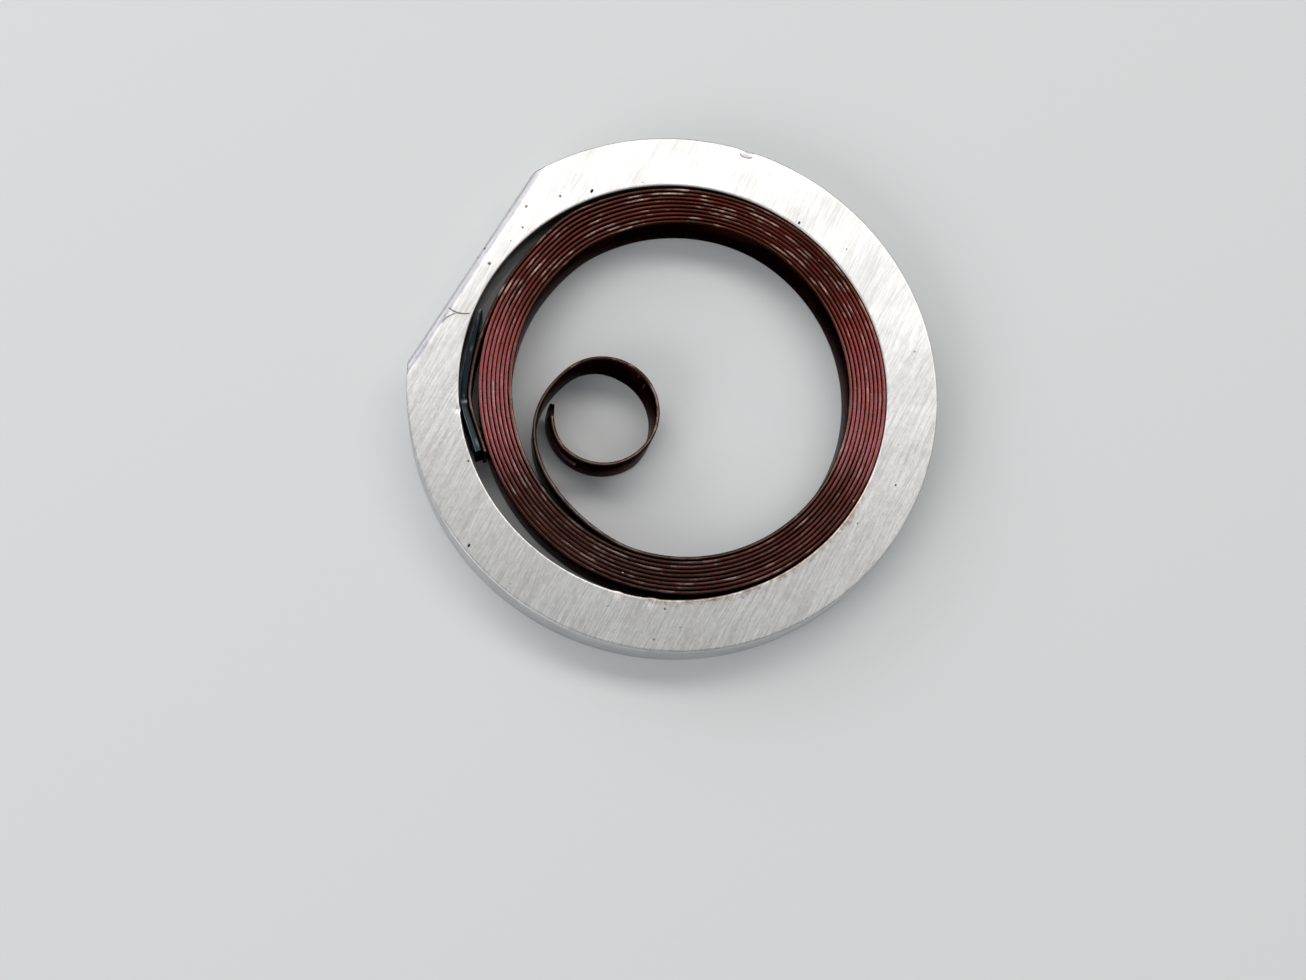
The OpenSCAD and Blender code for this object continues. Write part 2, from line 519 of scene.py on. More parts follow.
class Coat(Sheet):
    """One finish in the making: its nodes, its metallic shader and the shared effects."""

    def __init__(self, name: str, effects: Effects) -> None:
        """Makes a material.

        Args:
            name: the material's name.
            effects: the shared node groups.
        """
        self.material = bpy.data.materials.new(name)
        self.material.use_nodes = True
        self.material.node_tree.nodes.clear()
        super().__init__(self.material.node_tree)
        self.effects = effects
        self.shader = self.add("ShaderNodeBsdfPrincipled", Metallic=1.0)
        self.add("ShaderNodeOutputMaterial", Surface=self.shader.outputs[0])

    def set(self, **values: object) -> None:
        """Sets or links the shader's inputs, named with _ for a space."""
        for name, value in values.items():
            socket = self.shader.inputs[name.replace("_", " ")]
            if isinstance(value, Socket):
                self.tree.links.new(value, socket)
            else:
                socket.default_value = value

    def scratches(self, vector: Socket, width: float, length: float, cover: float) -> dict[str, Socket]:
        """Fine scratches along the vector's X: their Height and their Mask."""
        return self.effects.scratches.place(self, Vector=vector, Width=width, Length=length, Cover=cover)

    def pits(self, vector: Socket, spacing: float, share: float, size: float) -> Socket:
        """Where pits or specks are, in a given share of cells."""
        return self.effects.pits.place(self, Vector=vector, Spacing=spacing, Share=share, Size=size)["Mask"]

    def edge_wear(self, vector: Socket, edge: Socket, amount: float) -> Socket:
        """Where an edge is rubbed bare."""
        return self.effects.edge_wear.place(self, Vector=vector, Edge=edge, Amount=amount)["Mask"]

    def finished(self, base: Socket, rough: Socket, height: Socket, depth_mm: float) -> bpy.types.Material:
        """Links a colour, a roughness and a relief to the shader.

        Args:
            base: the colour.
            rough: the roughness.
            height: the relief, between about -1 and 1.
            depth_mm: what a height of 1 is.

        Returns:
            The material.
        """
        relief = self.add("ShaderNodeBump", Height=height, Distance=depth_mm * METRES, Strength=1.0)
        self.set(Base_Color=base, Roughness=rough, Normal=relief.outputs[0])
        return self.material


@dataclass(frozen=True)
class ArcMark:
    """Small handling mark or painted glint: part of a circle, or a dot if the radius is 0, in millimetres."""

    centre: Point2
    radius: float
    start: float
    end: float
    width: float
    depth: float

    @classmethod
    def dot(cls, centre: Point2, width: float, depth: float) -> "ArcMark":
        """A small round mark."""
        return cls(centre, 0.0, 0.0, 360.0, width, depth)

    def mask(self, s: Coat, place: Socket) -> Socket:
        """Where the mark is.

        Args:
            s: the finish in the making.
            place: coordinates in millimetres, of which the first two are used.

        Returns:
            1 on the mark and 0 elsewhere.
        """
        arm = s.vector("SUBTRACT", s.stretch(place, (1.0, 1.0, 0.0)), (*self.centre, 0.0))
        uneven = s.times(s.minus(s.noise(place, 9.0), 0.5), self.width * 1.2)
        off = s.plus(s.maths("ABSOLUTE", s.minus(s.vector("LENGTH", arm), self.radius)), uneven)
        line = s.step(off, self.width, self.width * 0.35)
        if self.radius == 0:
            return line
        facing = s.toward(s.vector("NORMALIZE", arm), (self.start + self.end) / 2)
        half = math.radians((self.end - self.start) / 2)
        return s.times(line, s.step(s.maths("ARCCOSINE", facing), half, half * 0.7))


@dataclass(frozen=True)
class BrushedAluminium:
    """Soft aluminium sheet, brushed one way, scratched and pitted, with turned walls darkened and blued by
    painted shade.
    """

    metal: Colour = (0.84, 0.83, 0.82)
    dull: Colour = (0.72, 0.71, 0.70)
    groove: Colour = (0.76, 0.75, 0.74)
    frosted: Colour = (0.87, 0.87, 0.87)
    # Painted shade on the walls.
    wall: Colour = (0.34, 0.38, 0.44)
    dirt: Colour = (0.05, 0.045, 0.04)
    stain: Colour = (0.42, 0.26, 0.17)
    # Painted reflection on the bore's edge.
    painted_bore_reflection: Colour = (0.80, 0.64, 0.42)
    # Painted shade for the rolled edge of the flat.
    rolled: Colour = (0.40, 0.38, 0.41)
    rubbed: Colour = (0.93, 0.95, 0.97)
    brush_turn: float = 59.0
    stain_turn: float = -66.0
    roughness: float = 0.34
    bump_mm: float = 0.008
    marks: tuple[ArcMark, ...] = (
        ArcMark((-7.05, 3.35), 0.785, 223, 287, 0.028, 0.6),
        ArcMark((-7.25, 1.95), 0.627, 94, 157, 0.024, 0.5),
        ArcMark((2.76, 8.66), 0.36, 205, 300, 0.035, 0.35),
        ArcMark.dot((-6.22, 4.35), 0.075, 0.8),
        ArcMark.dot((-5.09, 5.66), 0.055, 0.6),
        ArcMark.dot((-4.96, 6.41), 0.065, 0.6),
        ArcMark.dot((-0.48, -7.56), 0.06, 0.9),
        ArcMark.dot((-0.86, -8.58), 0.05, 0.7),
        ArcMark.dot((-6.92, -2.55), 0.05, 0.8),
    )

    def build(self, effects: Effects) -> bpy.types.Material:
        """Makes the material.

        Args:
            effects: the shared node groups.

        Returns:
            The finished material.
        """
        s = Coat("brushed_aluminium", effects)
        place = s.millimetres()
        along = s.stretch(place, turn=self.brush_turn)
        lay, scored = self.brushing(s, place, along)
        dark = self.dark_spots(s, place, along)
        cloud = s.noise(place, 0.55, 4.0, 0.6)
        base = s.blend(s.step(cloud, 0.35, 0.68), self.metal, self.dull)
        grooved = s.blend(0.85, base, self.groove, "MULTIPLY")
        base = s.blend(s.step(lay, -0.13, 0.15), grooved, base)
        base = s.blend(self.frost_and_lower_shade(s, place, along), base, self.frosted, "MULTIPLY")
        # Painted shade: the walls are darkened and blued, standing in for the dark surroundings they reflect.
        base = s.blend(s.attribute("wall"), base, self.wall, "MULTIPLY")
        base = self.rolled_flat(s, place, base)
        base = self.worn_edges(s, place, base)
        base = s.blend(dark, base, self.dirt)
        clean = s.plus(s.times(s.minus(cloud, 0.5), 0.18), self.roughness, s.times(scored, -0.10))
        height = s.minus(lay, s.times(scored, 0.9), s.times(dark, 2.0))
        return s.finished(base, s.between(dark, clean, 0.8), height, self.bump_mm)

    def brushing(self, s: Coat, place: Socket, along: Socket) -> tuple[Socket, Socket]:
        """Lines of the brush on the faces, and of the lathe on the walls.

        Args:
            s: the finish in the making.
            place: coordinates in millimetres.
            along: the same, turned so that X runs with the brush.

        Returns:
            The height of the lines, and where single deep scratches are.
        """
        fine = s.scratches(along, 0.045, 2.6, 0.45)
        coarse = s.scratches(s.stretch(along, turn=7.0, shift=(3.0, 1.0, 0.0)), 0.10, 4.5, 0.25)
        stray = s.scratches(s.stretch(along, turn=-38.0, shift=(7.0, 2.0, 0.0)), 0.07, 1.6, 0.02)
        turned = s.scratches(s.stretch(place, (0.12, 0.012, 1.0)), 0.09, 2.0, 0.5)
        brushed = s.plus(s.times(fine["Height"], 0.8), s.times(coarse["Height"], 0.6))
        lay = s.between(s.attribute("face_up"), turned["Height"], brushed)
        return lay, s.maths("ADD", s.times(coarse["Mask"], 0.7), stray["Mask"], clamp=True)

    def dark_spots(self, s: Coat, place: Socket, along: Socket) -> Socket:
        """Where pits, specks and handling marks are.

        Args:
            s: the finish in the making.
            place: coordinates in millimetres.
            along: the same, turned so that X runs with the brush.

        Returns:
            How dark each spot is.
        """
        pits = s.pits(s.stretch(along, (0.6, 1.0, 1.0)), 0.55, 0.10, 0.09)
        specks = s.pits(along, 0.2, 0.05, 0.12)
        by_flat = s.pits(s.stretch(along, (0.7, 1.0, 1.0)), 0.34, 0.40, 0.11)
        near_flat = s.step(s.toward(place, FLAT_TURN), 6.0, 7.0, 0.65)
        dark = s.highest(pits, s.times(specks, 0.6), s.times(by_flat, near_flat))
        for mark in self.marks:
            dark = s.highest(dark, s.times(mark.mask(s, place), mark.depth))
        return dark

    def frost_and_lower_shade(self, s: Coat, place: Socket, along: Socket) -> Socket:
        """Where handling has frosted the faces, faded toward +Y and full toward -Y: a painted shade that
        darkens the lower side.

        Args:
            s: the finish in the making.
            place: coordinates in millimetres.
            along: the same, turned so that X runs with the brush.

        Returns:
            How frosted each place is.
        """
        grain = s.noise(s.stretch(along, (0.55, 1.0, 1.0)), 8.0, 5.0, 0.75)
        _, across, _ = s.axes(place)
        # Painted shade: full toward -Y, weaker toward +Y.
        painted_lower_shade = s.between(s.step(across, 6.0, -2.0), 0.3, 1.0)
        return s.times(s.step(grain, 0.60, 0.40), s.attribute("face_up"), painted_lower_shade)

    def rolled_flat(self, s: Coat, place: Socket, base: Socket) -> Socket:
        """Paints shade on the rolled edge of the flat: a grey band, back to the metal's own colour at the
        lip.

        Args:
            s: the finish in the making.
            place: coordinates in millimetres.
            base: the colour so far.

        Returns:
            The colour.
        """
        _, _, height = s.axes(place)
        upper = s.step(height, RING_THICK - 0.35, RING_THICK - 0.25)
        reach = s.plus(s.toward(place, FLAT_TURN), s.times(s.noise(place, 2.2, 4.0, 0.6), 0.06))
        # Painted shade: a grey band along the flat's rolled edge.
        band = s.times(upper, s.step(reach, FLAT_REACH - 0.26, FLAT_REACH - 0.20, 0.9))
        lip = s.times(upper, s.step(reach, FLAT_REACH - 0.06, FLAT_REACH - 0.01))
        return s.blend(lip, s.blend(band, base, self.rolled), self.metal)

    def worn_edges(self, s: Coat, place: Socket, base: Socket) -> Socket:
        """Stains one side of the bore's edge, rubs every edge, and paints a warm reflection along the bore's
        edge.

        Args:
            s: the finish in the making.
            place: coordinates in millimetres.
            base: the colour so far.

        Returns:
            The colour.
        """
        edge = s.attribute("edge")
        reach = s.vector("LENGTH", s.stretch(place, (1.0, 1.0, 0.0)))
        near_bore = s.step(s.plus(reach, s.times(s.noise(place, 3.5, 5.0, 0.7), 0.9)), 7.95, 7.6)
        stained = s.times(near_bore, s.step(s.toward(place, self.stain_turn), 5.0, 6.8), 0.95)
        base = s.blend(stained, base, self.stain, "MULTIPLY")
        base = s.blend(s.edge_wear(place, edge, 0.45), base, self.rubbed)
        # Painted reflection: a warm tint along the bore's edge.
        return s.blend(s.times(edge, s.step(reach, 7.6, 7.4), 0.6), base, self.painted_bore_reflection)


@dataclass(frozen=True)
class StripReadings:
    """What the steel finishes read at each point of a strip."""

    flat: Socket
    level: Socket
    edge: Socket
    crest: Socket
    bare: Socket
    packed: Socket
    patch: Socket
    grain: Socket
    streak: Socket


@dataclass(frozen=True)
class TemperedSteel:
    """Spring steel strip: tempered sheared edges with a lighter crest, partly burnished and partly a painted
    highlight, over darker faces.
    """

    name: str
    thick: float
    edge: Colour
    edge_deep: Colour
    edge_light: Colour
    # The edge and crest colours for uneven patches also carry the painted sheen at both sides of the coil.
    edge_patch_and_sheen: Colour
    crest: Colour
    crest_patch_and_sheen: Colour
    face: Colour
    face_tint: Colour
    free_flank: Colour = (0.026, 0.012, 0.009)
    free_crest: Colour = (0.205, 0.145, 0.110)
    eye_shade: Colour = (0.24, 0.17, 0.13)
    # Painted shade on the packed coil's crest toward +Y.
    painted_top_shade: Colour = (0.62, 0.42, 0.38)
    streaks: tuple[Colour, Colour] = ((1.0, 0.86, 0.72), (0.94, 0.92, 1.0))
    # Painted shade on the coil's edges: darker toward 50 degrees, browner toward 250 degrees.
    painted_shade_upper_right: Colour = (0.70, 0.57, 0.51)
    painted_shade_lower_left: Colour = (0.68, 0.90, 0.88)
    grazing: Colour = (0.32, 0.27, 0.27)
    roughness: float = 0.33
    face_roughness: float = 0.26
    glint: float = 0.5
    bump_mm: float = 0.0025
    marks: tuple[ArcMark, ...] = ()

    def build(self, effects: Effects) -> bpy.types.Material:
        """Makes the material.

        Args:
            effects: the shared node groups.

        Returns:
            The finished material.
        """
        s = Coat(self.name, effects)
        s.set(Specular_Tint=(*self.grazing, 1.0))
        strip = self.read(s)
        warm, mottle = self.redness_and_side_sheen(s, strip)
        ground = s.blend(s.step(strip.patch, 0.32, 0.62), self.edge_deep, self.edge)
        ground = s.blend(warm, ground, self.edge_patch_and_sheen)
        ground = s.blend(strip.bare, ground, self.free_flank)
        uneven = s.times(s.plus(strip.grain, mottle), 0.4)
        # Where the painted sheen is, the lighter crest band is also wider.
        band = s.plus(s.minus(strip.crest, s.between(warm, 0.58, 0.16)), uneven)
        rim = s.blend(s.maths("MULTIPLY", band, 4.0, clamp=True), ground, self.crest_burnish_and_highlight(s, strip, warm))
        rim = self.rubbed(s, strip, self.painted_side_shade(s, strip, rim))
        base = s.blend(s.step(strip.edge, 0.2, 0.8), self.rolled_face(s, strip), rim)
        rough = s.plus(s.between(strip.edge, self.face_roughness, self.roughness), s.times(strip.grain, 0.25))
        shear = s.scratches(s.stretch(strip.flat, turn=90.0), 0.16, 0.8, 0.4)
        height = s.plus(s.times(strip.grain, 0.8), s.times(shear["Height"], strip.edge))
        return s.finished(base, rough, height, self.bump_mm)

    def read(self, s: Coat) -> StripReadings:
        """Reads the strip's stored places and its grain.

        Args:
            s: the finish in the making.

        Returns:
            What was read.
        """
        flat = s.attribute("flat_co", vector=True)
        edge = s.attribute("edge")
        _, aside, _ = s.axes(flat)
        off = s.maths("DIVIDE", s.maths("ABSOLUTE", aside), self.thick / 2)
        grain = s.effects.grain.place(s, Vector=flat)
        return StripReadings(
            flat=flat,
            level=s.stretch(s.millimetres(), (1.0, 1.0, 0.0)),
            edge=edge,
            crest=s.times(s.minus(1.0, off), s.times(edge, s.attribute("top"))),
            bare=s.attribute("bare"),
            packed=s.attribute("packed"),
            patch=grain["Patch"],
            grain=grain["Height"],
            streak=s.noise(s.stretch(flat, (1.3, 1.0, 1.0)), 1.0, 3.0, 0.65),
        )

    def redness_and_side_sheen(self, s: Coat, strip: StripReadings) -> tuple[Socket, Socket]:
        """Where the strip is redder and brighter: a painted sheen at both sides of the coil, and uneven
        redder patches of temper.

        Args:
            s: the finish in the making.
            strip: what is read from the strip.

        Returns:
            How much painted sheen and redder temper there is, and the patches alone.
        """
        sideways, _, _ = s.axes(s.vector("NORMALIZE", strip.level))
        # Painted sheen: redder and brighter at both sides of the coil, along X.
        sides = s.times(s.step(s.maths("ABSOLUTE", sideways), 0.80, 1.0), strip.packed)
        mottle = s.times(s.minus(s.plus(strip.patch, strip.streak), 1.0), 0.8)
        return s.maths("ADD", sides, mottle, clamp=True), mottle

    def crest_burnish_and_highlight(self, s: Coat, strip: StripReadings, warm: Socket) -> Socket:
        """Colour of the edge's crest: partly burnished metal, partly a painted highlight.

        Args:
            s: the finish in the making.
            strip: what is read from the strip.
            warm: where the strip is redder, from the painted sheen at the coil's sides and from the temper's
                patches.

        Returns:
            The colour.
        """
        _, ahead, _ = s.axes(s.vector("NORMALIZE", strip.level))
        packed = s.blend(warm, self.crest, self.crest_patch_and_sheen)
        # Painted shade: the packed coil's crest is darker and redder toward +Y.
        packed = s.blend(s.times(s.step(ahead, -0.3, 0.6), 0.9), packed, self.painted_top_shade, "MULTIPLY")
        from_eye = s.vector("SUBTRACT", strip.level, (*EYE_CENTRE, 0.0))
        _, ahead, _ = s.axes(s.vector("NORMALIZE", from_eye))
        free = s.blend(s.step(ahead, -0.35, 0.9), self.free_crest, self.eye_shade, "MULTIPLY")
        share = s.times(strip.bare, s.between(strip.packed, 0.9, 0.55))
        tint = s.blend(s.step(strip.streak, 0.42, 0.6), *self.streaks)
        return s.blend(0.8, s.blend(share, packed, free), tint, "MULTIPLY")

    def painted_side_shade(self, s: Coat, strip: StripReadings, rim: Socket) -> Socket:
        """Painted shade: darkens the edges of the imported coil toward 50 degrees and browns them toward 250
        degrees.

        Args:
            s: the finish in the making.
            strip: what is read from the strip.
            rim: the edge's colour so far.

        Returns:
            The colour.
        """
        way = s.vector("NORMALIZE", strip.level)
        for turn, low, shade in ((50.0, 0.3, self.painted_shade_upper_right), (250.0, 0.55, self.painted_shade_lower_left)):
            share = s.times(s.step(s.toward(way, turn), low, 1.0), strip.packed)
            rim = s.blend(share, rim, shade, "MULTIPLY")
        return rim

    def rubbed(self, s: Coat, strip: StripReadings, rim: Socket) -> Socket:
        """Adds painted glints, wear streaks and the marked painted highlight lines to the edge.

        Args:
            s: the finish in the making.
            strip: what is read from the strip.
            rim: the edge's colour so far.

        Returns:
            The colour.
        """
        glints = s.pits(s.stretch(strip.flat, (0.6, 1.0, 1.0)), 0.2, 0.16, 0.10)
        on_crest = s.step(strip.crest, 0.3, 0.7)
        worn = s.edge_wear(s.stretch(strip.flat, (0.35, 1.0, 1.0)), on_crest, self.glint)
        glint = s.times(glints, s.step(strip.crest, 0.1, 0.5), 0.85)
        for share in (glint, s.times(worn, 0.55), s.attribute("bright")):
            rim = s.blend(share, rim, self.edge_light)
        return rim

    def rolled_face(self, s: Coat, strip: StripReadings) -> Socket:
        """Colour of the strip's faces.

        Args:
            s: the finish in the making.
            strip: what is read from the strip.

        Returns:
            The colour.
        """
        rolled = s.scratches(strip.flat, 0.07, 5.0, 0.35)
        face = s.blend(s.step(strip.patch, 0.42, 0.66), self.face, self.face_tint)
        face = s.blend(s.times(rolled["Mask"], 0.25), face, self.edge)
        along, _, up = s.axes(strip.flat)
        unrolled = s.join(along, up, 0.0)
        # Light marks on the faces: scratches, and painted glints.
        for mark in self.marks:
            face = s.blend(s.times(mark.mask(s, unrolled), mark.depth), face, self.edge_light)
        return face


@dataclass(frozen=True)
class FloorPaper:
    """Pale matt surface that the object lies on."""

    tone: Colour = (0.86, 0.86, 0.85)
    roughness: float = 0.9

    def build(self, effects: Effects) -> bpy.types.Material:
        """Makes the material, and returns it."""
        coat = Coat("pale_floor", effects)
        coat.set(Metallic=0.0, Roughness=self.roughness, Base_Color=(*self.tone, 1.0))
        return coat.material


# ---------------------------------------------------------------- the strip's path


@dataclass(frozen=True)
class Stretch:
    """Part of a path seen from above: points, headings and lengths along it, in millimetres."""

    points: np.ndarray
    along: np.ndarray

    @classmethod
    def through(cls, points: np.ndarray) -> "Stretch":
        """Measures a path through points."""
        steps = np.linalg.norm(np.diff(points, axis=0), axis=1)
        return cls(points, np.concatenate([[0.0], np.cumsum(steps)]))

    @property
    def length(self) -> float:
        """Length of the whole path."""
        return float(self.along[-1])

    def wrap(self, x: np.ndarray, aside: np.ndarray) -> np.ndarray:
        """Bends flat coordinates round the path.

        Args:
            x: distance along the path.
            aside: distance to its right, away from the axis.

        Returns:
            Rows of two coordinates.
        """
        way = unit_rows(np.gradient(self.points, self.along, axis=0))
        middle = np.stack([np.interp(x, self.along, self.points[:, i]) for i in (0, 1)], axis=1)
        way = unit_rows(np.stack([np.interp(x, self.along, way[:, i]) for i in (0, 1)], axis=1))
        past = np.maximum(x - self.length, 0) + np.minimum(x, 0)
        return middle + way * past[:, None] + np.stack([way[:, 1], -way[:, 0]], axis=1) * aside[:, None]


@dataclass(frozen=True)
class StripPath:
    """Middle line of the spring's strip, from the tip of its eye to its outer end."""

    bore_r: float = 7.25
    strip_t: float = STRIP_THICK
    pitch: float = 0.143
    turns: int = 8
    gap: float = 0.03
    press_in: float = 0.56
    coil_from: float = -104.0
    coil_end: float = 3028.0
    eye_c: Point2 = EYE_CENTRE
    eye_r: float = 1.85
    eye_tip: float = 166.0
    eye_leave: float = 130.0
    run_pull: Point2 = (3.72, 1.92)
    arc: Point2 = (3.81, 24.3)
    kink: Point2 = (0.84, 22.9)
    tongue_l: float = 1.4

    def coil(self, a: np.ndarray) -> np.ndarray:
        """Points on the coil at angles in degrees that count on past each turn."""
        r0 = self.bore_r - self.gap - self.strip_t / 2 - self.pitch * self.turns
        dip = self.press_in * ((1 - np.cos(np.radians(a))) / 2) ** 2
        return at_angle(r0 + self.pitch * a / 360 - dip, a)

    def coil_way(self, a: float) -> np.ndarray:
        """Direction of the coil at an angle."""
        two = self.coil(np.array([a - 0.5, a + 0.5]))
        return unit_rows(two[1] - two[0])

    @staticmethod
    def bend(start: np.ndarray, heading: float, length: float, turn: float) -> tuple[np.ndarray, float]:
        """Points of a steady bend to the left.

        Args:
            start: where it begins.
            heading: its direction there, in degrees.
            length: its length.
            turn: how far it turns, in degrees.

        Returns:
            The points after the start, and the heading at the end.
        """
        share = np.linspace(0, 1, max(4, int(length / 0.1)))[1:, None]
        if turn == 0:
            return start + length * share * at_angle(1.0, heading), heading
        h = np.radians(heading + turn * share[:, 0])
        h0 = math.radians(heading)
        arc = np.stack([np.sin(h) - math.sin(h0), math.cos(h0) - np.cos(h)], axis=1)
        return start + length / math.radians(turn) * arc, heading + turn

    def outer_end(self) -> np.ndarray:
        """Points from the coil's last one to the strip's outer tip."""
        start = self.coil(np.array([self.coil_end]))[0]
        way = self.coil_way(self.coil_end)
        heading = math.degrees(math.atan2(way[1], way[0]))
        rows = [start[None]]
        for length, turn in (self.arc, self.kink, (self.tongue_l, 0.0)):
            points, heading = self.bend(rows[-1][-1], heading, length, turn)
            rows.append(points)
        return np.concatenate(rows)

    def whole(self) -> Stretch:
        """The path from the eye's tip to the outer end."""
        eye = np.array(self.eye_c) + at_angle(self.eye_r, np.arange(self.eye_tip, 360 + self.eye_leave, 1.0))
        leave = np.array(self.eye_c) + at_angle(self.eye_r, self.eye_leave)
        leave_way = at_angle(1.0, self.eye_leave + 90)
        join = self.coil(np.array([self.coil_from]))[0]
        join_way = self.coil_way(self.coil_from)
        u = np.linspace(0, 1, 121)[:, None]
        run = (
            (1 - u) ** 3 * leave
            + 3 * (1 - u) ** 2 * u * (leave + self.run_pull[0] * leave_way)
            + 3 * (1 - u) * u**2 * (join - self.run_pull[1] * join_way)
            + u**3 * join
        )
        coil = self.coil(np.arange(self.coil_from + 1, self.coil_end, 1.0))
        return Stretch.through(np.concatenate([eye, run, coil, self.outer_end()]))

    def tongue(self) -> Stretch:
        """The outer end alone, which the bridle lies along."""
        return Stretch.through(self.outer_end())


# ---------------------------------------------------------------- pieces


@dataclass(frozen=True)
class Dent:
    """A place where the ring is nicked or burred, in millimetres."""

    place: Point3
    reach: float
    push: Point3

    def pushes(self, co: np.ndarray) -> np.ndarray:
        """How far each row of an array of vertices is pushed."""
        gap = np.linalg.norm(co - np.array(self.place), axis=1) / self.reach
        return np.array(self.push) * (np.clip(1 - gap**2, 0, 1) ** 2)[:, None]


@dataclass
class RetainingRing:
    """Flat aluminium ring with one flat on its rim, in millimetres."""

    radius: float = 9.0
    bore: float = 7.25
    thick: float = RING_THICK
    flat_reach: float = FLAT_REACH
    roll_r: float = 0.21
    roll_tilts: tuple[float, ...] = (68.0, 45.0, 22.0)
    edge_break: float = 0.04
    sides: int = 720
    dents: tuple[Dent, ...] = (
        Dent((2.74, 8.56, RING_THICK), 0.34, (-0.005, -0.015, -0.045)),
        Dent((-0.9, -7.24, RING_THICK), 0.30, (0.0, 0.035, -0.012)),
        Dent((-2.0, -7.0, RING_THICK), 0.22, (0.008, 0.03, -0.012)),
        Dent((-7.27, -0.77, RING_THICK), 0.15, (0.035, 0.0, -0.012)),
    )
    finish: BrushedAluminium = field(default_factory=BrushedAluminium)

    @property
    def flat_way(self) -> Vector:
        """Direction that the flat faces."""
        return Vector((*at_angle(1.0, FLAT_TURN), 0.0))

    def blank(self) -> Workpiece:
        """Turns the ring: a disc whose two faces are inset and bridged into a bore."""
        piece = Workpiece("retaining_ring_body", lambda: bpy.ops.mesh.primitive_cylinder_add(
            vertices=self.sides, radius=self.radius, depth=self.thick, location=(0, 0, self.thick / 2)))
        piece.place()
        piece.edit()
        piece.select(Kind.FACE, lambda f: abs(f.normal.z) > 0.9)
        bpy.ops.mesh.inset(thickness=self.radius - self.bore, depth=0)
        bpy.ops.mesh.delete(type="ONLY_FACE")
        inner = self.bore + 0.1
        piece.select(Kind.EDGE, lambda e: all(v.co.xy.length < inner for v in e.verts))
        bpy.ops.mesh.bridge_edge_loops()
        piece.select(Kind.EDGE, lambda e: abs(e.verts[0].co.xy.length - e.verts[1].co.xy.length) > 0.5)
        bpy.ops.mesh.subdivide(number_cuts=19)
        return piece

    @staticmethod
    def saw(place: Vector, out: Vector) -> None:
        """Saws off all that lies beyond a plane, which faces out, and closes the cut."""
        bpy.ops.mesh.select_all(action="SELECT")
        bpy.ops.mesh.bisect(
            plane_co=place, plane_no=out, use_fill=True, clear_outer=True, threshold=1e-5
        )

    def saw_flat(self) -> None:
        """Cuts the flat across the rim and rolls its upper edge over."""
        self.saw(self.flat_way * self.flat_reach, self.flat_way)
        bpy.ops.mesh.select_all(action="SELECT")
        bpy.ops.mesh.normals_make_consistent(inside=False)
        r = self.roll_r
        centre = self.flat_way * (self.flat_reach - r) + Vector((0, 0, self.thick - r))
        for tilt in self.roll_tilts:
            lean = math.radians(tilt)
            out = self.flat_way * math.cos(lean) + Vector((0, 0, math.sin(lean)))
            self.saw(centre + out * r, out)

    def break_edges(self, piece: Workpiece) -> None:
        """Rounds every edge that is still sharp."""
        piece.select(Kind.EDGE, lambda e: e.is_manifold and e.calc_face_angle(0) > math.radians(55))
        bpy.ops.mesh.bevel(offset=self.edge_break, segments=3, profile=0.5, affect="EDGES")

    def wear(self, piece: Workpiece) -> None:
        """Moves the surface where the ring is nicked, burred and rolled."""
        co = piece.coords()
        way = np.array(self.flat_way[:2])
        side = np.array([-way[1], way[0]])
        deep = co[:, :2] @ way - self.flat_reach
        along = co[:, :2] @ side
        near = np.clip(1 + deep / 0.35, 0, 1) * np.clip((co[:, 2] - self.thick + 0.4) / 0.4, 0, 1)
        roll = 0.035 * waves(along, 3, (1.9, 0.7, 0.31))
        co[:, :2] -= way * (near * np.maximum(roll, -0.01))[:, None]
        co[:, 2] -= near * 0.02 * (1 + waves(along, 4, (1.1, 0.4)))
        for dent in self.dents:
            co += dent.pushes(co)
        co[:, 2] = np.clip(co[:, 2], 0.0, self.thick)
        piece.move_to(co)

    def masks(self, piece: Workpiece) -> None:
        """Stores where the flat faces and the broken edges are."""
        mesh = piece.obj.data
        normals = np.zeros(len(mesh.vertices) * 3)
        mesh.vertices.foreach_get("normal", normals)
        up = np.abs(normals.reshape(-1, 3)[:, 2])
        piece.mark("face_up", np.clip((up - 0.5) * 2, 0, 1))
        # Where the walls are, for the painted shade on them.
        piece.mark("wall", np.clip(1 - up * 6, 0, 1))
        piece.mark("edge", np.clip(1 - np.abs(up - 0.66) * 3.2, 0, 1))

    def build(self, effects: Effects) -> None:
        """Makes the ring and dresses it."""
        piece = self.blank()
        self.saw_flat()
        self.break_edges(piece)
        piece.close()
        self.wear(piece)
        self.masks(piece)
        piece.finish(Body.RING, Slot.RING, self.finish.build(effects), "retaining_ring")
        piece.crisp()


